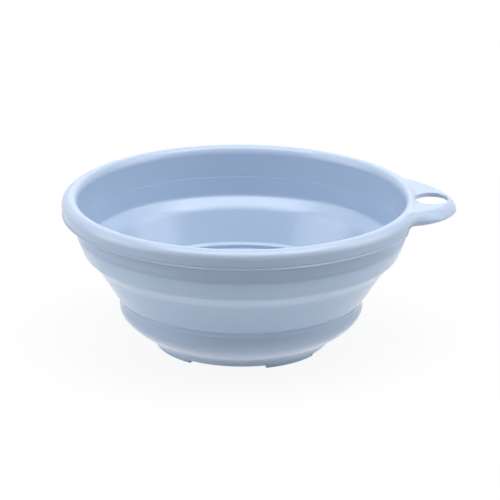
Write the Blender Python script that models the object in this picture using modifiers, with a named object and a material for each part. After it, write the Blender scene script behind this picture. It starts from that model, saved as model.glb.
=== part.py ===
import math

import bmesh
import bpy
from mathutils import Matrix, Vector
from mathutils.geometry import interpolate_bezier

# Folding dishpan: a rigid rim hoop with a hanging tab and a rigid base pan,
# joined by a soft wall that turns inside out as the rim is pushed down.
# Metres, +Z up, feet on Z = 0, hanging tab towards +X.
# Pairs of numbers are a radius from the basin's axis and a height above the floor.

# Overall size
BASIN_HEIGHT = 0.128
LIP_RADIUS = 0.150
TAB_REACH = 0.179
AXIS_X = (LIP_RADIUS - TAB_REACH) / 2

# Walls and seams
SHELL_WALL = 0.0020
SEAM_GAP = 0.0003
ROUND_STEPS = 72

# Rim hoop: a lip rolled outwards, with a hanging skirt, and an inner sleeve down to the soft wall
CROWN_RADIUS = 0.1410
LIP_INNER_RADIUS = 0.1387
LIP_INNER_DROP = 0.0033
LIP_CORNER_WIDTH = 0.0082
LIP_CORNER_HEIGHT = 0.0074
SKIRT_DEPTH = 0.0138
SKIRT_DRAFT = 0.0010
SLEEVE_ROOT = 0.1406
SLEEVE_ROOT_DROP = 0.0006
SLEEVE_TOP = (0.1383, 0.1135)
SLEEVE_FOOT = (0.1383, 0.1010)
TONGUE_FOOT = (0.1372, 0.0980)
TONGUE_INNER = 0.1362

# Hanging tab: a round-ended shelf that swells out of the lip
TAB_CENTRE = 0.127
TAB_RADIUS = 0.052
TAB_FILLET = 0.012
TAB_DROP = 0.0030
TAB_SLOPE = 0.0100
TAB_CORNER = 0.0032
TAB_DEPTH = 0.0100
TAB_HALF_ANGLE = math.radians(25)
TAB_SECTIONS = 28
PLAIN_SECTIONS = 62
TOP_STATIONS = (0.15, 0.30, 0.60)

# Hanging hole through the tab, with a short collar below it
HOLE_CENTRE = 0.1583
HOLE_RADIAL = 0.0140
HOLE_ACROSS = 0.0155
HOLE_COLLAR_WALL = 0.0020
HOLE_COLLAR_TOP = 0.0038
HOLE_COLLAR_BOTTOM = 0.0072
HOLE_SIDES = 48

# Soft wall, upper zone: a tapered collar, with a fold groove inside its foot
COLLAR_BEND = (0.1381, 0.0995)
COLLAR_FOOT_OUTER = (0.1332, 0.0846)
COLLAR_FOOT_INNER = (0.1315, 0.0846)
FOLD_GROOVE = (0.1311, 0.0855)
FOLD_GROOVE_TOP = (0.1319, 0.0867)

# Soft wall, middle zone: a shoulder turned in under the collar, then a cone
BAND_TOP_OUTER = 0.1331
BAND_TOP_INNER = 0.1314
SHOULDER_OUTER = (0.1325, 0.0822)
SHOULDER_INNER = (0.1306, 0.0838)
SHOULDER_ROUND = 0.0016
LEDGE_OUTER = (0.1230, 0.0728)
LEDGE_INNER = (0.1212, 0.0767)
LEDGE_ROUND = 0.0032
CONE_FOOT_INNER = (0.1046, 0.0484)
CONE_FOOT_ROUND = 0.0020
BAND_FOOT_OUTER = (0.1051, 0.0441)
BAND_FOOT_INNER = (0.1034, 0.0441)

# Soft wall, lower zone: a beaded root moulded over the pan's top edge
ROOT_GROOVE = 0.1031
ROOT_BEAD = 0.1040
ROOT_UPPER_GROOVE_HEIGHT = 0.0428
ROOT_BEAD_TOP = 0.0414
ROOT_BEAD_FOOT = 0.0396
ROOT_LOWER_GROOVE_HEIGHT = 0.0386
ROOT_LEDGE = (0.1004, 0.0435)

# Base pan: an upright top edge, one bend in to the foot ring, and a flat floor
PAN_TOP = (0.1025, 0.0380)
PAN_TONGUE = (0.1013, 0.0423)
PAN_INNER = 0.1001
PAN_BEND_TOP = 0.0335
PAN_BEND_HANDLE = 0.0090
PAN_SLOPE = math.radians(32)
PAN_SLOPE_HANDLE = 0.0160
FLOOR_TOP = 0.0106
FLOOR_WALL = 0.0024
FLOOR_BEND = 0.0060
GATE_RADIUS = 0.0070
GATE_DEPTH = 0.0007

# Foot ring under the pan, and the pads let into it
RING_TOP = (0.0778, 0.0093)
RING_FOOT = (0.0749, 0.0031)
RING_WALL = 0.0028
RING_DRAFT = 0.0008
PAD_COUNT = 4
PAD_FIRST_ANGLE = math.radians(35.8)
PAD_ARC = math.radians(38)
PAD_STEPS = 8
PAD_SEAT = 0.0013
PAD_TIP = 0.0727
PAD_INNER = 0.0695
PAD_EDGE = 0.0004

# Colour, linear, and roughness of the rigid and the soft plastic
RIGID_BLUE = (0.430, 0.545, 0.715, 1.0)
SOFT_BLUE = (0.410, 0.530, 0.700, 1.0)
RIGID_ROUGHNESS = 0.32
SOFT_ROUGHNESS = 0.45


def mix(first, last, share):
    return first + (last - first) * share


def smooth_step(share):
    share = min(max(share, 0.0), 1.0)
    return share * share * (3 - 2 * share)


def clear_scene():
    for piece in list(bpy.data.objects):
        bpy.data.objects.remove(piece, do_unlink=True)


def make_collection(name):
    collection = bpy.data.collections.new(name)
    bpy.context.scene.collection.children.link(collection)
    return collection


def make_empty(name, location, collection, parent=None):
    empty = bpy.data.objects.new(name, None)
    empty.parent = parent
    empty.location = location
    empty.empty_display_size = 0.02
    collection.objects.link(empty)
    return empty


def add_object(name, mesh, collection, parent):
    piece = bpy.data.objects.new(name, mesh)
    piece.parent = parent
    collection.objects.link(piece)
    return piece


def add_cutter(mesh, collection, parent):
    cutter = add_object(mesh.name, mesh, collection, parent)
    cutter.hide_render = True
    cutter.display_type = "WIRE"
    return cutter


def add_boolean(piece, other, operation):
    boolean = piece.modifiers.new(other.name, "BOOLEAN")
    boolean.operation = operation
    boolean.solver = "EXACT"
    boolean.object = other


def add_material(piece, color, roughness):
    material = bpy.data.materials.new(piece.name)
    material.use_nodes = True
    shader = material.node_tree.nodes["Principled BSDF"]
    shader.inputs["Base Color"].default_value = color
    shader.inputs["Roughness"].default_value = roughness
    shader.inputs["Metallic"].default_value = 0.0
    piece.data.materials.append(material)


def finish_mesh(name, bm):
    bmesh.ops.recalc_face_normals(bm, faces=bm.faces)
    mesh = bpy.data.meshes.new(name)
    bm.to_mesh(mesh)
    bm.free()
    mesh.shade_smooth()
    mesh.set_sharp_from_angle(angle=math.radians(30))
    return mesh


def bend(start, start_handle, end_handle, end, steps):
    corners = [Vector((radius, height, 0)) for radius, height in (start, start_handle, end_handle, end)]
    curve = interpolate_bezier(*corners, steps + 1)
    return [(point.x, point.y) for point in curve]


# A corner of an outline, rounded off over the given length of each side
def round_corner(before, corner, after, length, steps=2):
    corner = Vector(corner)
    start = corner + (Vector(before) - corner).normalized() * length
    end = corner + (Vector(after) - corner).normalized() * length
    return bend(start, start.lerp(corner, 0.55), end.lerp(corner, 0.55), end, steps)


def oval_arc(centre, width, height, start, end, steps):
    points = []
    for step in range(steps + 1):
        turn = math.radians(mix(start, end, step / steps))
        points.append((centre[0] + width * math.cos(turn), centre[1] + height * math.sin(turn)))
    return points


# Turned piece: the outline runs down its outer side and back up its inner side
def turn_outline(name, points, collection, parent, closed=True):
    mesh = bpy.data.meshes.new(name)
    edges = [(index, index + 1) for index in range(len(points) - 1)]
    if closed:
        edges.append((len(points) - 1, 0))
    mesh.from_pydata([(radius, 0, height) for radius, height in points], edges, [])
    piece = add_object(name, mesh, collection, parent)
    screw = piece.modifiers.new("Turn", "SCREW")
    screw.axis = "Z"
    screw.angle = math.tau
    screw.steps = ROUND_STEPS
    screw.render_steps = ROUND_STEPS
    screw.use_merge_vertices = True
    screw.merge_threshold = 0.00001
    screw.use_smooth_shade = True
    return piece


# Outer edge of the rim from above: the lip's circle, the tab's arc and a hollow fillet between them
def rim_reach(angle):
    angle = abs(math.remainder(angle, math.tau))
    lip_side = LIP_RADIUS + TAB_FILLET
    tab_side = TAB_RADIUS + TAB_FILLET
    fillet_x = (lip_side**2 - tab_side**2 + TAB_CENTRE**2) / (2 * TAB_CENTRE)
    fillet_angle = math.acos(fillet_x / lip_side)
    if angle >= fillet_angle:
        return LIP_RADIUS
    share = TAB_RADIUS / tab_side
    touch_x = mix(TAB_CENTRE, fillet_x, share)
    touch_y = lip_side * math.sin(fillet_angle) * share
    if angle >= math.atan2(touch_y, touch_x):
        turn = fillet_angle - angle
        return lip_side * math.cos(turn) - math.sqrt(TAB_FILLET**2 - (lip_side * math.sin(turn)) ** 2)
    across = TAB_CENTRE * math.sin(angle)
    return TAB_CENTRE * math.cos(angle) + math.sqrt(TAB_RADIUS**2 - across**2)


# Closed section of the rim hoop: over the lip, round the skirt, under the lip and down the sleeve
def rim_section(angle):
    reach = rim_reach(angle)
    share = (reach - LIP_RADIUS) / (TAB_REACH - LIP_RADIUS)
    drop = TAB_DROP * share
    corner_width = mix(LIP_CORNER_WIDTH, TAB_CORNER, share)
    corner_height = mix(LIP_CORNER_HEIGHT, TAB_CORNER, share)
    corner = (reach - corner_width, BASIN_HEIGHT - drop - corner_height)
    crown = (CROWN_RADIUS, BASIN_HEIGHT - LIP_INNER_DROP)

    points = oval_arc(crown, CROWN_RADIUS - LIP_INNER_RADIUS, LIP_INNER_DROP, 180, 90, 3)
    for station in TOP_STATIONS:
        radius = mix(CROWN_RADIUS, corner[0], station)
        slope = smooth_step((radius - CROWN_RADIUS) / TAB_SLOPE)
        points.append((radius, BASIN_HEIGHT - drop * slope))
    points += oval_arc(corner, corner_width, corner_height, 90, 0, 5)

    skirt_foot = BASIN_HEIGHT - mix(SKIRT_DEPTH, TAB_DEPTH, share)
    points.append((reach - SKIRT_DRAFT, skirt_foot))
    points.append((reach - SKIRT_DRAFT - SHELL_WALL, skirt_foot))
    points += oval_arc(corner, corner_width - SHELL_WALL, corner_height - SHELL_WALL, 0, 90, 3)
    points.append((SLEEVE_ROOT, BASIN_HEIGHT - drop - SHELL_WALL - SLEEVE_ROOT_DROP))
    points += [SLEEVE_TOP, SLEEVE_FOOT]
    points.append((TONGUE_FOOT[0], SLEEVE_FOOT[1]))
    points.append(TONGUE_FOOT)
    points.append((TONGUE_INNER, TONGUE_FOOT[1]))
    return points


def section_angles():
    angles = []
    for step in range(TAB_SECTIONS):
        angles.append(mix(-TAB_HALF_ANGLE, TAB_HALF_ANGLE, step / TAB_SECTIONS))
    for step in range(PLAIN_SECTIONS):
        angles.append(mix(TAB_HALF_ANGLE, math.tau - TAB_HALF_ANGLE, step / PLAIN_SECTIONS))
    return angles


# The lip's section changes where it swells into the tab, so the hoop is a loft round the axis
def rim_loft():
    bm = bmesh.new()
    rings = []
    for angle in section_angles():
        x, y = math.cos(angle), math.sin(angle)
        rings.append([bm.verts.new((radius * x, radius * y, height)) for radius, height in rim_section(angle)])
    for ring, following in zip(rings, rings[1:] + rings[:1]):
        for index in range(len(ring)):
            beside = (index + 1) % len(ring)
            bm.faces.new((ring[index], ring[beside], following[beside], following[index]))
    return finish_mesh("rim_frame", bm)


# Upright oval post centred on the hanging hole
def oval_post(name, radial, top, bottom):
    bm = bmesh.new()
    depth = top - bottom
    bmesh.ops.create_cone(
        bm, cap_ends=True, segments=HOLE_SIDES, radius1=radial, radius2=radial, depth=depth
    )
    across = radial + HOLE_ACROSS - HOLE_RADIAL
    bmesh.ops.scale(bm, vec=(1, across / radial, 1), verts=bm.verts)
    bmesh.ops.translate(bm, vec=(HOLE_CENTRE, 0, (top + bottom) / 2), verts=bm.verts)
    return finish_mesh(name, bm)


def make_rim_frame(parts, cutters, parent):
    frame = add_object("rim_frame", rim_loft(), parts, parent)
    collar_top = BASIN_HEIGHT - HOLE_COLLAR_TOP
    collar_foot = BASIN_HEIGHT - HOLE_COLLAR_BOTTOM
    collar = oval_post("hole_collar", HOLE_RADIAL + HOLE_COLLAR_WALL, collar_top, collar_foot)
    hole = oval_post("hanging_hole", HOLE_RADIAL, BASIN_HEIGHT + TAB_DEPTH, BASIN_HEIGHT - 2 * TAB_DEPTH)
    add_boolean(frame, add_cutter(collar, cutters, parent), "UNION")
    add_boolean(frame, add_cutter(hole, cutters, parent), "DIFFERENCE")
    add_material(frame, RIGID_BLUE, RIGID_ROUGHNESS)


# The collar laps over the outside of the rim's tongue
def make_wall_collar(parts, parent):
    lap_inner = TONGUE_FOOT[0] + SEAM_GAP
    lap_top = SLEEVE_FOOT[1] - SEAM_GAP
    lap_foot = TONGUE_FOOT[1] - SEAM_GAP
    points = [(lap_inner, lap_top), (SLEEVE_FOOT[0], lap_top), COLLAR_BEND]
    points += [COLLAR_FOOT_OUTER, COLLAR_FOOT_INNER, FOLD_GROOVE, FOLD_GROOVE_TOP]
    points += [(TONGUE_INNER, lap_foot), (lap_inner, lap_foot)]
    collar = turn_outline("wall_collar", points, parts, parent)
    add_material(collar, SOFT_BLUE, SOFT_ROUGHNESS)


def make_fold_band(parts, parent):
    top = COLLAR_FOOT_OUTER[1] - SEAM_GAP
    top_outer = (BAND_TOP_OUTER, top)
    points = [(BAND_TOP_INNER, top), top_outer]
    points += round_corner(top_outer, SHOULDER_OUTER, LEDGE_OUTER, SHOULDER_ROUND)
    points += round_corner(SHOULDER_OUTER, LEDGE_OUTER, BAND_FOOT_OUTER, LEDGE_ROUND)
    points += [BAND_FOOT_OUTER, BAND_FOOT_INNER]
    points += round_corner(BAND_FOOT_INNER, CONE_FOOT_INNER, LEDGE_INNER, CONE_FOOT_ROUND)
    points += round_corner(CONE_FOOT_INNER, LEDGE_INNER, SHOULDER_INNER, LEDGE_ROUND)
    points.append(SHOULDER_INNER)
    band = turn_outline("fold_band", points, parts, parent)
    add_material(band, SOFT_BLUE, SOFT_ROUGHNESS)


# The root's bead runs round the outside, and its ledge covers the pan's tongue
def make_wall_root(parts, parent):
    top = BAND_FOOT_OUTER[1] - SEAM_GAP
    foot = PAN_TOP[1] + SEAM_GAP
    tongue_side = PAN_TONGUE[0] + SEAM_GAP
    tongue_cover = PAN_TONGUE[1] + SEAM_GAP
    points = [(BAND_FOOT_INNER[0], top), (BAND_FOOT_OUTER[0], top)]
    points += [(ROOT_GROOVE, ROOT_UPPER_GROOVE_HEIGHT)]
    points += [(ROOT_BEAD, ROOT_BEAD_TOP), (ROOT_BEAD, ROOT_BEAD_FOOT)]
    points += [(ROOT_GROOVE, ROOT_LOWER_GROOVE_HEIGHT), (ROOT_GROOVE, foot)]
    points += [(tongue_side, foot), (tongue_side, tongue_cover)]
    points += [(PAN_INNER, tongue_cover), ROOT_LEDGE]
    root = turn_outline("wall_root", points, parts, parent)
    add_material(root, SOFT_BLUE, SOFT_ROUGHNESS)


def pan_slope():
    return Vector((math.cos(PAN_SLOPE), math.sin(PAN_SLOPE)))


def pan_outer_side():
    bend_start = (PAN_TOP[0], PAN_BEND_TOP)
    bend_handle = (PAN_TOP[0], PAN_BEND_TOP - PAN_BEND_HANDLE)
    ring_handle = Vector(RING_TOP) + pan_slope() * PAN_SLOPE_HANDLE
    return bend(bend_start, bend_handle, ring_handle, RING_TOP, 6)


# The inner side keeps the wall's thickness all the way, and rounds off into the flat floor
def pan_inner_side(outer_side):
    inner_side = []
    for index, (radius, height) in enumerate(outer_side):
        before = Vector(outer_side[max(index - 1, 0)])
        after = Vector(outer_side[min(index + 1, len(outer_side) - 1)])
        along = (after - before).normalized()
        inner_side.insert(0, (radius + along.y * FLOOR_WALL, height - along.x * FLOOR_WALL))
    joint = Vector(inner_side[0])
    floor_edge = (joint.x - FLOOR_BEND, FLOOR_TOP)
    floor_handle = (joint.x - FLOOR_BEND / 2, FLOOR_TOP)
    wall_handle = joint - pan_slope() * FLOOR_BEND / 4
    return bend(floor_edge, floor_handle, wall_handle, joint, 2) + inner_side[1:]


# A short curved bar: its section is swept round the basin's axis
def curved_bar(name, section, middle_angle, arc):
    bm = bmesh.new()
    face = bm.faces.new([bm.verts.new((radius, 0, height)) for radius, height in section])
    start = Matrix.Rotation(middle_angle - arc / 2, 4, "Z")
    bmesh.ops.transform(bm, matrix=start, verts=bm.verts)
    swept = list(bm.verts) + list(bm.edges) + [face]
    bmesh.ops.spin(bm, geom=swept, cent=(0, 0, 0), axis=(0, 0, 1), angle=arc, steps=PAD_STEPS)
    return finish_mesh(name, bm)


def pad_angles():
    return [PAD_FIRST_ANGLE + index * math.tau / PAD_COUNT for index in range(PAD_COUNT)]


# Each pad has its own seat, cut into the foot ring
def cut_pad_seats(pan, cutters, parent):
    top = RING_FOOT[1] + PAD_SEAT
    inner = PAD_INNER - RING_WALL
    section = [(inner, 0), (RING_TOP[0], 0), (RING_TOP[0], top), (inner, top)]
    arc = PAD_ARC + 2 * SEAM_GAP / PAD_TIP
    for number, angle in enumerate(pad_angles(), 1):
        seat = curved_bar(f"pad_seat_{number}", section, angle, arc)
        add_boolean(pan, add_cutter(seat, cutters, parent), "DIFFERENCE")


def make_base_pan(parts, cutters, parent):
    outer_side = pan_outer_side()
    ring_inner = RING_FOOT[0] - RING_WALL
    underside = FLOOR_TOP - FLOOR_WALL
    points = [(0, FLOOR_TOP)] + pan_inner_side(outer_side)
    points += [(PAN_INNER, PAN_TONGUE[1]), PAN_TONGUE, (PAN_TONGUE[0], PAN_TOP[1]), PAN_TOP]
    points += outer_side
    points += [RING_FOOT, (ring_inner, RING_FOOT[1]), (ring_inner + RING_DRAFT, underside)]
    points += [(GATE_RADIUS + GATE_DEPTH, underside), (GATE_RADIUS, underside + GATE_DEPTH)]
    points.append((0, underside + GATE_DEPTH))
    pan = turn_outline("base_pan", points, parts, parent, closed=False)
    cut_pad_seats(pan, cutters, parent)
    add_material(pan, RIGID_BLUE, RIGID_ROUGHNESS)


def make_foot_pads(parts, parent):
    top = RING_FOOT[1] + PAD_SEAT - SEAM_GAP
    outer_top = (RING_FOOT[0] + SEAM_GAP, top)
    section = [outer_top, (PAD_TIP, 0), (PAD_INNER, 0), (PAD_INNER + RING_DRAFT, top)]
    for number, angle in enumerate(pad_angles(), 1):
        mesh = curved_bar(f"foot_{number}", section, angle, PAD_ARC)
        pad = add_object(mesh.name, mesh, parts, parent)
        bevel = pad.modifiers.new("Soft edges", "BEVEL")
        bevel.width = PAD_EDGE
        bevel.segments = 1
        bevel.limit_method = "ANGLE"
        add_material(pad, SOFT_BLUE, SOFT_ROUGHNESS)


def main():
    clear_scene()
    parts = make_collection("dishpan")
    cutters = make_collection("cutters")
    basin_axis = make_empty("basin_axis", (AXIS_X, 0, 0), parts)
    rim_slide = make_empty("rim_slide", (0, 0, 0), parts, basin_axis)
    make_rim_frame(parts, cutters, rim_slide)
    make_wall_collar(parts, rim_slide)
    make_fold_band(parts, basin_axis)
    make_wall_root(parts, basin_axis)
    make_base_pan(parts, cutters, basin_axis)
    make_foot_pads(parts, basin_axis)


main()
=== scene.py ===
import math

import bmesh
import bpy
from mathutils import Matrix, Vector


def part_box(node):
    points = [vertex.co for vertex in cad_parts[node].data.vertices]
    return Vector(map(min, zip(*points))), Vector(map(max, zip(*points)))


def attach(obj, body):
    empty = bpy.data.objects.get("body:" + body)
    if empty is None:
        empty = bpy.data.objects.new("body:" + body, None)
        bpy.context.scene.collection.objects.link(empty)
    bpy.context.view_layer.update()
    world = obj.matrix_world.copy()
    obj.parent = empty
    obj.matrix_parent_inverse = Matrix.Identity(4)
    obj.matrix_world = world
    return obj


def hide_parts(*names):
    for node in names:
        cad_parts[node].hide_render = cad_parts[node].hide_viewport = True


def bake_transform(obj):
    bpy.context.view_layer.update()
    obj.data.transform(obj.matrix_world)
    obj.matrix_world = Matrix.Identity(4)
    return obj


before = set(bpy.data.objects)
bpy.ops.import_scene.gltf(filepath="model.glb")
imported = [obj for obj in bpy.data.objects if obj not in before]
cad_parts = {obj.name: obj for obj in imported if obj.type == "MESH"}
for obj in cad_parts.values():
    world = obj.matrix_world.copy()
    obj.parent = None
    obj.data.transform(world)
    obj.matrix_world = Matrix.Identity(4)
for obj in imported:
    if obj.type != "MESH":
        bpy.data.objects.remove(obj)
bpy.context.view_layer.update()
print("frame loaded")

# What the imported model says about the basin: all turned pieces share the upright axis at axisX
rimLow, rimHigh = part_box("rim_frame")
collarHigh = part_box("wall_collar")[1]
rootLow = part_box("wall_root")[0]
panLow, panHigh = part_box("base_pan")

lipRadius = rimHigh.y
basinHeight = rimHigh.z
axisX = rimLow.x + lipRadius
tabReach = rimHigh.x - axisX
seam = 0.00008  # hairline between two mouldings
weldDistance = 1e-7  # points closer than this become one
foldAngle = 50  # degrees; a turned piece stays smooth across anything flatter
mostOfSide = 0.48  # a rounding takes up no more than this share of either side


def mix(first, last, share):
    return first + (last - first) * share


def smoothStep(share):
    share = min(max(share, 0.0), 1.0)
    return share * share * (3 - 2 * share)


def ovalArc(centre, width, height, start, end, steps):
    points = []
    for step in range(steps + 1):
        bend = math.radians(mix(start, end, step / steps))
        points.append((centre[0] + width * math.cos(bend), centre[1] + height * math.sin(bend)))
    return points


def addObject(name, data):
    added = bpy.data.objects.new(name, data)
    bpy.context.scene.collection.objects.link(added)
    return added


# A corner of an outline, rounded off over the given length of both sides
def softCorner(before, corner, after, length, steps=5):
    before, corner, after = Vector(before[:2]), Vector(corner[:2]), Vector(after[:2])
    toBefore, toAfter = before - corner, after - corner
    start = corner + toBefore.normalized() * min(length, toBefore.length * mostOfSide)
    end = corner + toAfter.normalized() * min(length, toAfter.length * mostOfSide)
    points = []
    for step in range(steps + 1):
        share = step / steps
        point = start.lerp(corner, share).lerp(corner.lerp(end, share), share)
        points.append((point.x, point.y))
    return points


# Every corner is (radius, height, rounding), and the line closes on itself
def softLine(corners):
    points = []
    for index, corner in enumerate(corners):
        if corner[2] == 0:
            points.append(corner[:2])
        else:
            after = corners[(index + 1) % len(corners)]
            points += softCorner(corners[index - 1], corner, after, corner[2])
    return points


# Closed rings of points joined into a skin: all the way around, or from end to end with two caps
def skin(name, rings, around=True):
    bm = bmesh.new()
    grid = [[bm.verts.new(point) for point in ring] for ring in rings]
    following = grid[1:] + grid[:1] if around else grid[1:]
    for ring, beside in zip(grid, following):
        for index in range(len(ring)):
            over = (index + 1) % len(ring)
            bm.faces.new((ring[index], ring[over], beside[over], beside[index]))
    if not around:
        bm.faces.new(grid[0])
        bm.faces.new(list(reversed(grid[-1])))
    bmesh.ops.remove_doubles(bm, verts=bm.verts, dist=weldDistance)
    bmesh.ops.recalc_face_normals(bm, faces=bm.faces)
    mesh = bpy.data.meshes.new(name)
    bm.to_mesh(mesh)
    bm.free()
    mesh.shade_smooth()
    mesh.set_sharp_from_angle(angle=math.radians(foldAngle))
    return addObject(name, mesh)


# A section's (radius, height) points, stood up at an angle round the axis
def roundAxis(section, angle):
    x, y = math.cos(angle), math.sin(angle)
    return [(axisX + radius * x, radius * y, height) for radius, height in section]


# One section for each angle round the axis: sectionAt(angle) gives its (radius, height) points
def turn(name, sectionAt, angles):
    return skin(name, [roundAxis(sectionAt(angle), angle) for angle in angles])


def evenAngles(count):
    return [math.tau * step / count for step in range(count)]


def weightNormals(piece):
    weighted = piece.modifiers.new("Weighted normals", "WEIGHTED_NORMAL")
    weighted.keep_sharp = True


# Rim hoop: rolled lip, hanging skirt, inner sleeve and the tab with its hole, one rigid moulding
rim = {
    "wall": 0.0020,
    "crownInset": 0.0086,  # from the lip's outer edge to the top of its roll
    "rollWidth": 0.0054,
    "rollHeight": 0.0082,
    "cornerWidth": 0.0084,
    "cornerHeight": 0.0068,
    "skirtDepth": 0.0148,
    "skirtDraft": 0.0011,
    "skirtEdge": 0.0005,
    "skirtFlare": 0.0011,
    "flareTop": 3,  # the flare's hollow, tip and rounding, as multiples of the foot's rise
    "flareTip": 1.4,
    "flareRound": 0.4,
    "underLip": (0.0023, 0.0006),  # hollow under the lip: out from the sleeve, down from the wall
    "underLipRound": 0.0015,
    "sleeveTop": 0.1135,
    "sleeveRound": 0.0040,
    "sleeveFoot": 0.1010,
    "sleeveEdge": 0.0001,
    "tongueInset": 0.0011,
    "tongueInner": 0.1362,
    "lapEdge": (0.1340, 0.1012),  # where the rim's inner side meets the soft wall
    "tabCentre": 0.127,
    "tabRadius": 0.052,
    "tabFillet": 0.012,
    "tabFootFillet": 0.003,
    "tabDrop": 0.0030,
    "tabSlope": 0.0055,
    "tabCornerWidth": 0.0105,  # at the tab's tip, beyond the hole
    "tabSideWidth": 0.0120,
    "tipAngles": (3, 11),  # degrees from the tab's middle, over which the one runs into the other
    "tabCornerHeight": 0.0080,
    "tabArcEnd": 28,  # the tab's rounding stops this many degrees short of upright
    "tipArcShare": 0.3,  # and this share of them at its tip
    "tabGrowth": 4,  # how fast the tab's section, its wide rounding and its plain foot come in
    "cornerGrowth": 1.5,
    "footGrowth": 8,
    "cornerGap": 0.0001,
    "tabWall": 0.0026,
    "tabDraft": 0.0003,
    "tabFlare": 0.00005,
    "tabEdgeShare": 0.4,
    "tabDepth": 0.0112,
    "rootDepth": 0.0097,
    "tabSide": (19.0, 22.5),  # degrees over which the tab's foot runs into its root
    "skirtRise": (24.0, 26.8),  # and over which the skirt's foot comes up to the root
    "tabHalfAngle": 30,
    "holeCentre": 0.1583,
    "holeRadial": 0.0140,
    "holeAcross": 0.0155,
    "holeRound": 0.0009,
    "holeRun": (2, 4),  # how far the cutter widens and runs on at its ends, in roundings
    "holeMouth": 1.3,
    "mouthDepths": (0.15, 0.12),
    "holeTurns": (0, 15, 30, 45, 60, 75),
    "collarWall": 0.0020,
    "collarTopDepth": 0.0038,
    "collarFootDepth": 0.0067,
    "collarRound": 0.0006,
    "collarTurns": (60, 30, 0),
    "sharpAngle": 40,
    "rollSteps": 9,
    "crownSteps": 12,
    "arcSteps": 16,
    "insideSteps": 8,
    "linkSteps": 4,
    "tabSteps": 140,
    "plainSteps": 200,
    "holeSteps": 96,
}


# Outer edge from above: the lip's circle, the tab's arc and a hollow fillet between them
def rimReach(angle, fillet=rim["tabFillet"]):
    angle = abs(math.remainder(angle, math.tau))
    lipSide = lipRadius + fillet
    tabSide = rim["tabRadius"] + fillet
    filletX = (lipSide**2 - tabSide**2 + rim["tabCentre"] ** 2) / (2 * rim["tabCentre"])
    filletAngle = math.acos(filletX / lipSide)
    if angle >= filletAngle:
        return lipRadius
    share = rim["tabRadius"] / tabSide
    touchX = mix(rim["tabCentre"], filletX, share)
    touchY = lipSide * math.sin(filletAngle) * share
    if angle >= math.atan2(touchY, touchX):
        turned = filletAngle - angle
        hollow = math.sqrt(fillet**2 - (lipSide * math.sin(turned)) ** 2)
        return lipSide * math.cos(turned) - hollow
    across = rim["tabCentre"] * math.sin(angle)
    return rim["tabCentre"] * math.cos(angle) + math.sqrt(rim["tabRadius"] ** 2 - across**2)


def tabShare(angle):
    return (rimReach(angle) - lipRadius) / (tabReach - lipRadius)


# The lip's top slopes down a little onto the tab, and the tab falls towards its tip
def tabFall(share):
    return rim["tabDrop"] * share**2


def topHeight(radius, share):
    slope = smoothStep((radius - lipRadius + rim["crownInset"]) / rim["tabSlope"])
    return basinHeight - tabFall(share) * slope


# Nought to one between two angles from the tab's middle, in degrees
def turnedShare(angle, span):
    turned = math.degrees(abs(math.remainder(angle, math.tau)))
    return smoothStep((turned - span[0]) / (span[1] - span[0]))


# How far the foot hangs below the rim's top: most round the lip, least where the tab leaves it
def skirtDepth(angle):
    depth = mix(rim["tabDepth"], rim["rootDepth"], turnedShare(angle, rim["tabSide"]))
    return mix(depth, rim["skirtDepth"], turnedShare(angle, rim["skirtRise"]))


# The skirt's foot turns out into a fine edge, which dies away where the tab begins
def skirtFootLine(radius, height, flare, rise):
    hollow = (radius, height + rise * rim["flareTop"])
    tip = (radius + flare, height + rise * rim["flareTip"])
    foot = (radius - rim["skirtEdge"], height)
    return [hollow] + softCorner(hollow, tip, foot, rise * rim["flareRound"], steps=4)


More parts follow.
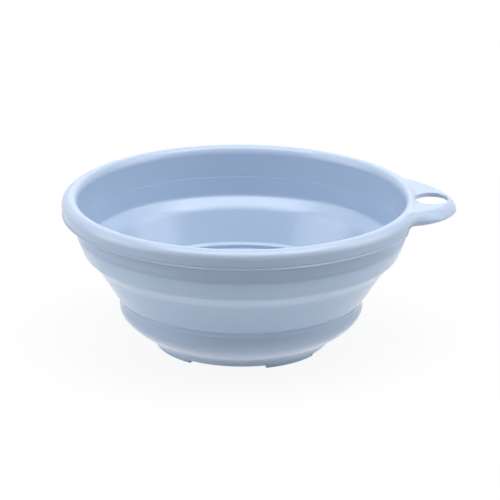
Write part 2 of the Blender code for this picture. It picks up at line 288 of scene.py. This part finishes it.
def rimSection(angle):
    reach = rimReach(angle)
    footReach = rimReach(angle, rim["tabFootFillet"])
    share = tabShare(angle)
    fromTip = turnedShare(angle, rim["tipAngles"])
    onTab = smoothStep(share * rim["tabGrowth"])
    footOnTab = smoothStep(share * rim["footGrowth"])
    skirtFoot = basinHeight - skirtDepth(angle)
    footRise = mix(rim["skirtEdge"], rim["skirtEdge"] * rim["tabEdgeShare"], footOnTab)

    # The lip's roll, its crown and the outer rounding
    tabCorner = mix(rim["tabCornerWidth"], rim["tabSideWidth"], fromTip)
    cornerWidth = mix(rim["cornerWidth"], tabCorner, smoothStep(share * rim["cornerGrowth"]))
    cornerTop = basinHeight - tabFall(share)
    mostHeight = cornerTop - skirtFoot - footRise * rim["flareTop"] - rim["cornerGap"]
    cornerHeight = min(mix(rim["cornerHeight"], rim["tabCornerHeight"], onTab), mostHeight)
    corner = (reach - cornerWidth, cornerTop - cornerHeight)
    arcEnd = rim["tabArcEnd"] * onTab * mix(rim["tipArcShare"], 1, fromTip)
    arcWidth = cornerWidth / math.cos(math.radians(arcEnd))
    arcHeight = cornerHeight / (1 - math.sin(math.radians(arcEnd)))
    arcCentre = (corner[0], cornerTop - arcHeight)
    crownRadius = lipRadius - rim["crownInset"]
    crown = (crownRadius, basinHeight - rim["rollHeight"])
    points = ovalArc(crown, rim["rollWidth"], rim["rollHeight"], 180, 90, rim["rollSteps"])
    for step in range(1, rim["crownSteps"]):
        radius = mix(crownRadius, corner[0], step / rim["crownSteps"])
        points.append((radius, topHeight(radius, share)))
    points += ovalArc(arcCentre, arcWidth, arcHeight, 90, arcEnd, rim["arcSteps"])

    # The skirt's foot, and back up inside it
    outerFoot = footReach - mix(rim["skirtDraft"], rim["tabDraft"], share)
    innerFoot = (outerFoot - rim["wall"], skirtFoot)
    flare = mix(rim["skirtFlare"], rim["tabFlare"], footOnTab)
    points += skirtFootLine(outerFoot, skirtFoot, flare, footRise)
    inset = mix(rim["wall"], rim["tabWall"], onTab)
    insideWidth, insideHeight = cornerWidth - inset, cornerHeight - inset
    inside = ovalArc(corner, insideWidth, insideHeight, 0, 90, rim["insideSteps"])
    points += softCorner((outerFoot, skirtFoot), innerFoot, inside[0], rim["skirtEdge"], steps=3)
    points += inside

    # The sleeve under the lip, the tongue that the soft wall laps, and the inner side
    sleeveRadius = collarHigh.y
    tongueOuter = sleeveRadius - rim["tongueInset"]
    out, down = rim["underLip"]
    underLip = (sleeveRadius + out, cornerTop - rim["wall"] - down)
    sleeveTop = (sleeveRadius, rim["sleeveTop"])
    sleeveFoot = (sleeveRadius, rim["sleeveFoot"])
    tongueTop = (tongueOuter, rim["sleeveFoot"])
    points += softCorner(inside[-1], underLip, sleeveTop, rim["underLipRound"], steps=4)
    points += softCorner(underLip, sleeveTop, sleeveFoot, rim["sleeveRound"], steps=4)
    points += softCorner(sleeveTop, sleeveFoot, tongueTop, rim["sleeveEdge"], steps=3)
    edgeRadius, edgeHeight = rim["lapEdge"]
    points += [tongueTop, (tongueOuter, rimLow.z), (rim["tongueInner"], rimLow.z)]
    points += [(rim["tongueInner"], edgeHeight + seam), (edgeRadius, edgeHeight + seam)]
    for step in range(1, rim["linkSteps"]):
        up = step / rim["linkSteps"]
        points.append((mix(edgeRadius, points[0][0], up), mix(edgeHeight, points[0][1], up)))
    return points


def rimAngles():
    half = math.radians(rim["tabHalfAngle"])
    tabSteps, plainSteps = rim["tabSteps"], rim["plainSteps"]
    onTab = [mix(-half, half, step / tabSteps) for step in range(tabSteps)]
    return onTab + [mix(half, math.tau - half, step / plainSteps) for step in range(plainSteps)]


# Upright oval column on the hole's centre, from (growth, height) rings; height depends on x and y
def ovalColumn(name, rings):
    outlines = []
    for growth, heightAt in rings:
        outline = []
        for angle in evenAngles(rim["holeSteps"]):
            x = rim["holeCentre"] + (rim["holeRadial"] + growth) * math.cos(angle)
            y = (rim["holeAcross"] + growth) * math.sin(angle)
            outline.append((axisX + x, y, heightAt(x, y)))
        outlines.append(outline)
    return skin(name, outlines, around=False)


def tabTop(x, y):
    return topHeight(math.hypot(x, y), tabShare(math.atan2(y, x)))


# Steps round a quarter circle: how far out and how far along each one lies
def quarterRound(radius, turns):
    bends = [math.radians(degrees) for degrees in turns]
    return [(radius * (1 - math.cos(bend)), radius * (1 - math.sin(bend))) for bend in bends]


# The hole's cutter opens like a trumpet at both ends, so that the edges it leaves are rounded
def holeCutter():
    flare, foot = rim["holeRound"], basinHeight - rim["collarFootDepth"]
    wide, far = rim["holeRun"]
    mouth = flare * rim["holeMouth"]
    footDepth, topDepth = rim["mouthDepths"]
    rings = [(flare * wide, lambda x, y: foot - flare * far)]
    rings.append((mouth, lambda x, y: foot - flare * footDepth))
    for growth, rise in quarterRound(flare, reversed(rim["holeTurns"])):
        rings.append((growth, lambda x, y, rise=rise: foot + rise))
    for growth, fall in quarterRound(flare, rim["holeTurns"]):
        rings.append((growth, lambda x, y, fall=fall: tabTop(x, y) - fall))
    rings.append((mouth, lambda x, y: tabTop(x, y) + flare * topDepth))
    rings.append((flare * wide, lambda x, y: basinHeight + flare * far))
    return ovalColumn("holeCutter", rings)


def holeCollar():
    thickness, edge = rim["collarWall"], rim["collarRound"]
    foot = basinHeight - rim["collarFootDepth"]
    top = basinHeight - rim["collarTopDepth"]
    rings = [(thickness - edge, lambda x, y: foot)]
    for growth, rise in quarterRound(edge, rim["collarTurns"]):
        rings.append((thickness - growth, lambda x, y, rise=rise: foot + rise))
    rings.append((thickness, lambda x, y: top))
    return ovalColumn("holeCollar", rings)


def applyBoolean(piece, other, operation):
    boolean = piece.modifiers.new(other.name, "BOOLEAN")
    boolean.operation = operation
    boolean.solver = "EXACT"
    boolean.object = other
    bpy.context.view_layer.update()
    graph = bpy.context.evaluated_depsgraph_get()
    mesh = bpy.data.meshes.new_from_object(piece.evaluated_get(graph))
    piece.modifiers.clear()
    piece.data = mesh
    bpy.data.objects.remove(other)


def makeRimHoop():
    hoop = turn("rimHoop", rimSection, rimAngles())
    applyBoolean(hoop, holeCollar(), "UNION")
    applyBoolean(hoop, holeCutter(), "DIFFERENCE")
    hoop.data.shade_smooth()
    hoop.data.set_sharp_from_angle(angle=math.radians(rim["sharpAngle"]))
    weightNormals(hoop)
    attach(hoop, "rim")
    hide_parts("rim_frame")
    return hoop


# Soft wall: one flexible moulding, from the lap round the rim's tongue down to the pan's edge
wall = {
    "steps": 240,
    "lapStep": 0.0002,
    "lapRound": 0.0003,
    "collarInset": 0.0005,
    "collarEdge": 0.0002,
    "collarDepth": 0.0012,
    "collarRound": 0.0008,
    "bend": (0.1382, 0.0964),
    "bendRound": 0.0080,
    "shoulder": (0.1325, 0.0822),
    "shoulderInner": (0.1306, 0.0838),
    "shoulderRound": 0.0022,
    "ledge": (0.1230, 0.0728),
    "ledgeInner": (0.1212, 0.0767),
    "ledgeRound": 0.0040,
    "groove": (0.1314, 0.0858),
    "grooveRound": 0.0012,
    "coneFoot": (0.1049, 0.0442),
    "coneFootRound": 0.0010,
    "stepEdge": (0.1061, 0.0489),  # where the cone's inner side ends in a narrow step
    "stepEdgeRound": 0.0013,
    "stepLip": (0.1036, 0.0476),
    "stepLipRound": 0.0007,
    "stepFoot": (0.1033, 0.0441),
    "stepFootRound": 0.0010,
    "crease": 0.1027,
    "creaseHeight": 0.0428,
    "creaseRound": 0.0007,
    "bead": 0.1031,
    "beadHeight": 0.0405,
    "beadHalf": 0.0012,
    "beadRound": 0.0009,
    "rootRound": 0.0004,
    "ledgeOverPan": (0.1004, 0.0435),
    "ledgeOverPanRound": 0.0005,
    "panLapOuter": 0.0012,  # the slot over the pan's edge, measured in from the pan's outer side
    "panLapInner": 0.0024,
    "panLapRounds": (0.0002, 0.0003),
}


# From the lap's outer corner down the outside, round the bead and the pan's edge, and up the inside
def wallCorners():
    tongueOuter = collarHigh.y - rim["tongueInset"] + seam
    tongueInner = rim["tongueInner"] - seam
    lapTop, lapFoot = rim["sleeveFoot"] - seam, rimLow.z - seam
    edgeRadius, edgeHeight = rim["lapEdge"]
    collar = collarHigh.y - wall["collarInset"]
    bead, beadHeight, beadHalf = wall["bead"], wall["beadHeight"], wall["beadHalf"]
    panEdge = panHigh.y + seam
    slotTop = panHigh.z + seam
    slotOuter, slotInner = panEdge - wall["panLapOuter"], panEdge - wall["panLapInner"]
    slotRound, slotEdge = wall["panLapRounds"]
    return [
        (tongueOuter, lapTop, 0),
        (collar, lapTop, wall["collarEdge"]),
        (collar, lapTop - wall["collarDepth"], wall["collarRound"]),
        (*wall["bend"], wall["bendRound"]),
        (*wall["shoulder"], wall["shoulderRound"]),
        (*wall["ledge"], wall["ledgeRound"]),
        (*wall["coneFoot"], wall["coneFootRound"]),
        (wall["crease"], wall["creaseHeight"], wall["creaseRound"]),
        (bead, beadHeight + beadHalf, wall["beadRound"]),
        (bead, beadHeight - beadHalf, wall["beadRound"]),
        (wall["crease"], rootLow.z, wall["rootRound"]),
        (slotOuter, rootLow.z, 0),
        (slotOuter, slotTop, slotRound),
        (slotInner, slotTop, slotEdge),
        (*wall["ledgeOverPan"], wall["ledgeOverPanRound"]),
        (*wall["stepFoot"], wall["stepFootRound"]),
        (*wall["stepLip"], wall["stepLipRound"]),
        (*wall["stepEdge"], wall["stepEdgeRound"]),
        (*wall["ledgeInner"], wall["ledgeRound"]),
        (*wall["shoulderInner"], wall["shoulderRound"]),
        (*wall["groove"], wall["grooveRound"]),
        (edgeRadius - wall["lapStep"], edgeHeight, wall["lapRound"]),
        (tongueInner, edgeHeight, 0),
        (tongueInner, lapFoot, 0),
        (tongueOuter, lapFoot, 0),
    ]


def makeSoftWall():
    section = softLine(wallCorners())
    piece = turn("softWall", lambda angle: section, evenAngles(wall["steps"]))
    weightNormals(piece)
    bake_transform(piece)
    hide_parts("wall_collar", "fold_band", "wall_root")
    return piece


# Base pan: upright edge, bend, slope, foot ring with seats for the pads, and a flat floor
pan = {
    "steps": 240,
    "edgeWidth": 0.0012,
    "inner": 0.1001,
    "neck": 0.0010,  # how far the upright edge stands back under the soft wall
    "neckRound": 0.0004,
    "bendTop": 0.0335,
    "bendHandle": 0.0090,
    "slope": 32,
    "slopeHandle": 0.0160,
    "sideSteps": 20,
    "wall": 0.0024,
    "axisGap": 0.00002,  # keeps the section's ends just off the axis
    "floorMiddle": 0.030,
    "floorSteps": 6,
    "floorTop": 0.0106,
    "floorBend": 0.0060,
    "ringTop": (0.0777, 0.0084),
    "ringFootRadius": 0.0749,
    "ringWall": 0.0028,
    "ringDraft": 0.0008,
    "ringEdge": 0.0006,
    "gateRadius": 0.0070,
    "gateDepth": 0.0007,
    "seatEdge": 0.0003,  # half the angle, in radians, over which a pad's seat begins or ends
}

pads = {
    "count": 4,
    "firstAngle": 35.8,
    "arc": 38,
    "seatDepth": 0.0013,
    "seatGap": 0.0002,
    "tip": 0.0727,
    "inner": 0.0695,
    "topOuter": 0.0003,  # at its top a pad reaches this far out past the ring's foot
    "topInner": 0.0008,  # and starts this far out from its own inner side
    "edge": 0.0006,
    "edgeSteps": 3,
    "steps": 32,
}


# Cubic curve through two ends with their handles
def curveLine(start, startHandle, endHandle, end, steps):
    a, b, c, d = Vector(start), Vector(startHandle), Vector(endHandle), Vector(end)
    points = []
    for step in range(steps + 1):
        t = step / steps
        point = a * (1 - t) ** 3 + b * 3 * t * (1 - t) ** 2 + c * 3 * t * t * (1 - t) + d * t**3
        points.append((point.x, point.y))
    return points


def panOuterSide():
    slope = math.radians(pan["slope"])
    along = Vector((math.cos(slope), math.sin(slope))) * pan["slopeHandle"]
    start = (panHigh.y, pan["bendTop"])
    startHandle = (panHigh.y, pan["bendTop"] - pan["bendHandle"])
    endHandle = Vector(pan["ringTop"]) + along
    return curveLine(start, startHandle, endHandle, pan["ringTop"], pan["sideSteps"])


# The inner side keeps the wall's thickness, then rounds off into the flat floor
def panInnerSide(outer):
    inner = []
    for index, point in enumerate(outer):
        before = Vector(outer[max(index - 1, 0)])
        after = Vector(outer[min(index + 1, len(outer) - 1)])
        along = (after - before).normalized()
        inner.insert(0, (point[0] + along.y * pan["wall"], point[1] - along.x * pan["wall"]))
    joint = Vector(inner[0])
    slope = math.radians(pan["slope"])
    floorEdge = (joint.x - pan["floorBend"], pan["floorTop"])
    floorHandle = (joint.x - pan["floorBend"] / 2, pan["floorTop"])
    wallHandle = joint - Vector((math.cos(slope), math.sin(slope))) * pan["floorBend"] / 4
    return curveLine(floorEdge, floorHandle, wallHandle, joint, pan["floorSteps"]) + inner[1:]


def padAngles():
    first, count = math.radians(pads["firstAngle"]), pads["count"]
    return [first + math.tau * number / count for number in range(count)]


def seatHalfAngle():
    return math.radians(pads["arc"]) / 2 + pads["seatGap"] / pads["tip"]


def overPad(angle):
    turned = [abs(math.remainder(angle - padAngle, math.tau)) for padAngle in padAngles()]
    return min(turned) < seatHalfAngle()


def panSection(angle):
    outer = panOuterSide()
    shelf = (panHigh.y - pan["edgeWidth"], rootLow.z - seam)
    neck = (panHigh.y - pan["neck"], rootLow.z - seam)
    points = [(pan["axisGap"], pan["floorTop"]), (pan["floorMiddle"], pan["floorTop"])]
    points += panInnerSide(outer)
    points += [(pan["inner"], panHigh.z), (shelf[0], panHigh.z), shelf]
    points += softCorner(shelf, neck, outer[0], pan["neckRound"], steps=3) + outer

    # Foot ring and underside, with the small round gate mark in its middle
    footHeight = panLow.z + (pads["seatDepth"] if overPad(angle) else 0)
    lean = (pan["ringTop"][0] - pan["ringFootRadius"]) / (pan["ringTop"][1] - panLow.z)
    ringFoot = (pan["ringFootRadius"] + lean * (footHeight - panLow.z), footHeight)
    ringInner = pan["ringFootRadius"] - pan["ringWall"]
    ringHeel = (ringInner, footHeight)
    underside = pan["floorTop"] - pan["wall"]
    gateTop = underside + pan["gateDepth"]
    points += softCorner(outer[-1], ringFoot, ringHeel, pan["ringEdge"], steps=4)
    points += softCorner(ringFoot, ringHeel, (ringInner, underside), pan["ringEdge"], steps=4)
    points.append((ringInner + pan["ringDraft"], underside))
    points.append((pan["gateRadius"] + pan["gateDepth"], underside))
    points += [(pan["gateRadius"], gateTop), (pan["axisGap"], gateTop)]
    return points


# Even angles, with two close sections wherever a pad's seat begins or ends
def panAngles():
    angles = evenAngles(pan["steps"])
    half = seatHalfAngle()
    for padAngle in padAngles():
        for edge in (padAngle - half, padAngle + half):
            angles += [(edge + side * pan["seatEdge"]) % math.tau for side in (-1, 1)]
    return sorted(angles)


def makeBasePan():
    piece = turn("basePan", panSection, panAngles())
    weightNormals(piece)
    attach(piece, "base")
    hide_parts("base_pan")
    return piece


# A pad is a curved bar with rounded edges, and it tapers a little towards the ground
def makeFootPad(number, middle):
    top = panLow.z + pads["seatDepth"] - seam
    outerTop = pan["ringFootRadius"] + pads["topOuter"]
    innerTop = pads["inner"] + pads["topInner"]
    section = [(innerTop, top), (outerTop, top), (pads["tip"], 0), (pads["inner"], 0)]
    half, steps = math.radians(pads["arc"]) / 2, pads["steps"]
    angles = [middle + mix(-half, half, step / steps) for step in range(steps + 1)]
    rings = [roundAxis(section, angle) for angle in angles]
    piece = skin(f"footPad{number}", rings, around=False)
    piece.data.set_sharp_from_angle(angle=math.pi)
    rounding = piece.modifiers.new("Rounded edges", "BEVEL")
    rounding.width = pads["edge"]
    rounding.segments = pads["edgeSteps"]
    rounding.limit_method = "ANGLE"
    weightNormals(piece)
    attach(piece, "base")
    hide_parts(f"foot_{number}")
    return piece


# Finishes: colours are linear; sizes in metres say how large the marks of each kind are
rigidFinish = {
    "color": (0.412, 0.515, 0.672),
    "colorShift": 0.015,
    "cloudSize": 0.060,
    "roughness": (0.20, 0.24),
    "grainSize": 0.0012,
    "grainDepth": 0.000006,
    "waveSize": 0.018,
    "waveDepth": 0.00003,
    "softGlow": 0.08,
}
softFinish = {
    "color": (0.400, 0.512, 0.672),
    "colorShift": 0.015,
    "cloudSize": 0.050,
    "roughness": (0.16, 0.20),
    "grainSize": 0.0006,
    "grainDepth": 0.000010,
    "waveSize": 0.022,
    "waveDepth": 0.00010,
    "softGlow": 0.12,
}
padFinish = dict(softFinish, roughness=(0.50, 0.62), colorShift=0.05)
plastic = {
    "ior": 1.52,
    "glowRadius": (0.6, 0.8, 1.0),  # light goes a little deeper towards the blue
    "glowScale": 0.003,
    "patchShare": 1 / 3,  # the gloss changes over patches this much smaller than the clouds
    "noiseSpan": (0.3, 0.7),  # where nearly all values of the noise lie
    "cloudDetail": 3,
    "patchDetail": 2,
    "waveDetail": 1,
    "grainDetail": 2,
}


def nodesOf(block):
    block.use_nodes = True
    return block.node_tree.nodes, block.node_tree.links


def noiseNode(nodes, links, coordinates, size, detail):
    noise = nodes.new("ShaderNodeTexNoise")
    noise.inputs["Scale"].default_value = 1 / size
    noise.inputs["Detail"].default_value = detail
    links.new(coordinates, noise.inputs["Vector"])
    return noise.outputs["Fac"]


# A value that runs from one span to another
def rangeNode(nodes, links, value, fromSpan, toSpan):
    remap = nodes.new("ShaderNodeMapRange")
    for side, (start, end) in (("From", fromSpan), ("To", toSpan)):
        remap.inputs[side + " Min"].default_value = start
        remap.inputs[side + " Max"].default_value = end
    links.new(value, remap.inputs["Value"])
    return remap


def bumpNode(nodes, links, height, depth, normal=None):
    bump = nodes.new("ShaderNodeBump")
    bump.inputs["Strength"].default_value = 1.0
    bump.inputs["Distance"].default_value = depth
    links.new(height, bump.inputs["Height"])
    if normal is not None:
        links.new(normal, bump.inputs["Normal"])
    return bump.outputs["Normal"]


def mouldedPlastic(name, finish):
    material = bpy.data.materials.new(name)
    nodes, links = nodesOf(material)
    shader = nodes["Principled BSDF"]
    coordinates = nodes.new("ShaderNodeTexCoord").outputs["Object"]
    noiseSpan = plastic["noiseSpan"]

    cloud = noiseNode(nodes, links, coordinates, finish["cloudSize"], plastic["cloudDetail"])
    tint = nodes.new("ShaderNodeValToRGB")
    for stop, position, side in zip(tint.color_ramp.elements, noiseSpan, (-1, 1)):
        stop.position = position
        stop.color = (*[value * (1 + side * finish["colorShift"]) for value in finish["color"]], 1)
    links.new(cloud, tint.inputs["Fac"])
    links.new(tint.outputs["Color"], shader.inputs["Base Color"])

    patchSize = finish["cloudSize"] * plastic["patchShare"]
    patches = noiseNode(nodes, links, coordinates, patchSize, plastic["patchDetail"])
    gloss = rangeNode(nodes, links, patches, noiseSpan, finish["roughness"])
    links.new(gloss.outputs["Result"], shader.inputs["Roughness"])

    wave = noiseNode(nodes, links, coordinates, finish["waveSize"], plastic["waveDetail"])
    grain = noiseNode(nodes, links, coordinates, finish["grainSize"], plastic["grainDetail"])
    gentle = bumpNode(nodes, links, wave, finish["waveDepth"])
    fine = bumpNode(nodes, links, grain, finish["grainDepth"], gentle)
    links.new(fine, shader.inputs["Normal"])

    shader.inputs["IOR"].default_value = plastic["ior"]
    shader.inputs["Subsurface Weight"].default_value = finish["softGlow"]
    shader.inputs["Subsurface Radius"].default_value = plastic["glowRadius"]
    shader.inputs["Subsurface Scale"].default_value = plastic["glowScale"]
    return material


rimHoop = makeRimHoop()
print("rim hoop made")
softWall = makeSoftWall()
print("soft wall made")
basePan = makeBasePan()
print("base pan made")
footPads = [makeFootPad(number, angle) for number, angle in enumerate(padAngles(), 1)]
print("foot pads made")

rigidPlastic = mouldedPlastic("rigidPlastic", rigidFinish)
softPlastic = mouldedPlastic("softPlastic", softFinish)
padPlastic = mouldedPlastic("padPlastic", padFinish)
for piece, material in [(rimHoop, rigidPlastic), (basePan, rigidPlastic), (softWall, softPlastic)]:
    piece.data.materials.clear()
    piece.data.materials.append(material)
for piece in footPads:
    piece.data.materials.append(padPlastic)
print("finishes made")

# Camera: where the photograph was taken from; pixels are of the 500 x 500 frame
view = {
    "elevation": 17.862,
    "distance": 2.0845,
    "focalPixels": 2501.5,
    "roll": 0.33,
    "rimPixel": (241.49, 194.08),  # where the middle of the rim's top falls
    "frameSize": 500,
    "sensor": 36.0,
    "farthest": 20,
}


def makeCamera():
    data = bpy.data.cameras.new("camera")
    data.sensor_width = view["sensor"]
    data.lens = view["sensor"] * view["focalPixels"] / view["frameSize"]
    data.clip_end = view["farthest"]
    camera = addObject("camera", data)
    elevation = math.radians(view["elevation"])
    rimMiddle = Vector((axisX, 0, basinHeight))
    place = rimMiddle + Vector((0, -math.cos(elevation), math.sin(elevation))) * view["distance"]
    across = (view["rimPixel"][0] - view["frameSize"] / 2) / view["focalPixels"]
    above = (view["frameSize"] / 2 - view["rimPixel"][1]) / view["focalPixels"]
    level = Matrix.Rotation(math.radians(90) - elevation, 4, "X")
    yaw = Matrix.Rotation(math.atan2(across, 1), 4, "Y")
    pitch = Matrix.Rotation(-math.atan2(above, math.hypot(1, across)), 4, "X")
    roll = Matrix.Rotation(math.radians(view["roll"]), 4, "Z")
    camera.matrix_world = Matrix.Translation(place) @ level @ yaw @ pitch @ roll
    bpy.context.scene.camera = camera


# Studio: soft boxes are (place, (width, depth), watts), all aimed at the basin's middle
studio = {
    "boxes": {
        "topBox": ((0.0, 0.02, 1.38), (1.40, 0.45), 8.3),
        "topBackBox": ((0.0, 0.44, 1.30), (1.40, 0.60), 2.4),
        "topFrontBox": ((0.0, -0.40, 1.32), (1.60, 0.50), 6.0),
        "rightHighBox": ((0.75, 0.0, 1.15), (0.80, 0.80), 2.8),
        "rightBox": ((1.13, 0.0, 0.80), (0.90, 0.90), 2.8),
        "rightLowBox": ((1.24, -0.22, 0.54), (1.00, 1.00), 3.2),
        "leftBox": ((-1.07, 0.0, 0.83), (1.00, 1.00), 1.6),
        "leftLowBox": ((-1.24, -0.22, 0.58), (1.10, 1.10), 7.0),
        "backBox": ((0.0, 1.10, 0.77), (0.90, 0.90), 1.5),
    },
    "aim": (0.0, 0.0, 0.08),
    "underGlow": (0.21, 0.019),  # width and watts of the light that the floor throws up
    "fill": 0.10,
    "floorSize": 1.1,
    "floorColor": (0.93, 0.93, 0.93, 1),
    "floorWhite": (0.90, 1.0),  # share of plain white that is seen, near and far
    "floorFade": (0.30, 0.50),  # distances from the middle over which the one runs into the other
}


def makeLamp(name, shape, size, watts, place, rotation):
    data = bpy.data.lights.new(name, "AREA")
    data.shape = shape
    data.size, data.size_y = size
    data.energy = watts
    lamp = addObject(name, data)
    lamp.location = place
    lamp.rotation_euler = rotation
    lamp.visible_camera = False


def makeSoftBox(name, place, size, watts):
    toAim = Vector(studio["aim"]) - Vector(place)
    makeLamp(name, "RECTANGLE", size, watts, place, toAim.to_track_quat("-Z", "Y").to_euler())


# A round light just above the floor stands in for the white that a lit floor throws up
def makeUnderGlow():
    width, watts = studio["underGlow"]
    place = (axisX, 0, panLow.z / 2)
    makeLamp("underGlow", "DISK", (width, width), watts, place, (math.pi, 0, 0))


# One where the camera, a reflection or clear plastic looks, nought for light on the basin
def lookingRays(nodes, links):
    path = nodes.new("ShaderNodeLightPath")
    looking = path.outputs["Is Camera Ray"]
    for name in ("Is Glossy Ray", "Is Transmission Ray"):
        either = nodes.new("ShaderNodeMath")
        either.operation = "MAXIMUM"
        links.new(looking, either.inputs[0])
        links.new(path.outputs[name], either.inputs[1])
        looking = either.outputs["Value"]
    return looking


def makeFloor():
    bm = bmesh.new()
    bmesh.ops.create_grid(bm, x_segments=1, y_segments=1, size=studio["floorSize"] / 2)
    mesh = bpy.data.meshes.new("floor")
    bm.to_mesh(mesh)
    bm.free()
    floor = addObject("floor", mesh)
    material = bpy.data.materials.new("paleFloor")
    mesh.materials.append(material)
    nodes, links = nodesOf(material)
    nodes.clear()
    paint = nodes.new("ShaderNodeBsdfDiffuse")
    paint.inputs["Color"].default_value = studio["floorColor"]
    glow = nodes.new("ShaderNodeEmission")
    away = nodes.new("ShaderNodeVectorMath")
    away.operation = "LENGTH"
    links.new(nodes.new("ShaderNodeTexCoord").outputs["Object"], away.inputs[0])
    fade, whiteSpan = studio["floorFade"], studio["floorWhite"]
    white = rangeNode(nodes, links, away.outputs["Value"], fade, whiteSpan)
    white.interpolation_type = "SMOOTHSTEP"
    share = nodes.new("ShaderNodeMath")
    share.operation = "MULTIPLY"
    links.new(lookingRays(nodes, links), share.inputs[0])
    links.new(white.outputs["Result"], share.inputs[1])
    both = nodes.new("ShaderNodeMixShader")
    output = nodes.new("ShaderNodeOutputMaterial")
    links.new(share.outputs["Value"], both.inputs["Fac"])
    links.new(paint.outputs["BSDF"], both.inputs[1])
    links.new(glow.outputs["Emission"], both.inputs[2])
    links.new(both.outputs["Shader"], output.inputs["Surface"])


# White where the camera or a reflection looks, and a faint grey fill for everything else
def makeWorld():
    world = bpy.data.worlds.new("studio")
    bpy.context.scene.world = world
    nodes, links = nodesOf(world)
    background = nodes["Background"]
    background.inputs["Color"].default_value = (1, 1, 1, 1)
    strength = rangeNode(nodes, links, lookingRays(nodes, links), (0, 1), (studio["fill"], 1))
    links.new(strength.outputs["Result"], background.inputs["Strength"])


makeCamera()
for boxName, (boxPlace, boxSize, boxWatts) in studio["boxes"].items():
    makeSoftBox(boxName, boxPlace, boxSize, boxWatts)
makeUnderGlow()
makeFloor()
makeWorld()
bpy.context.scene.view_settings.view_transform = "Standard"
print("camera and studio made")
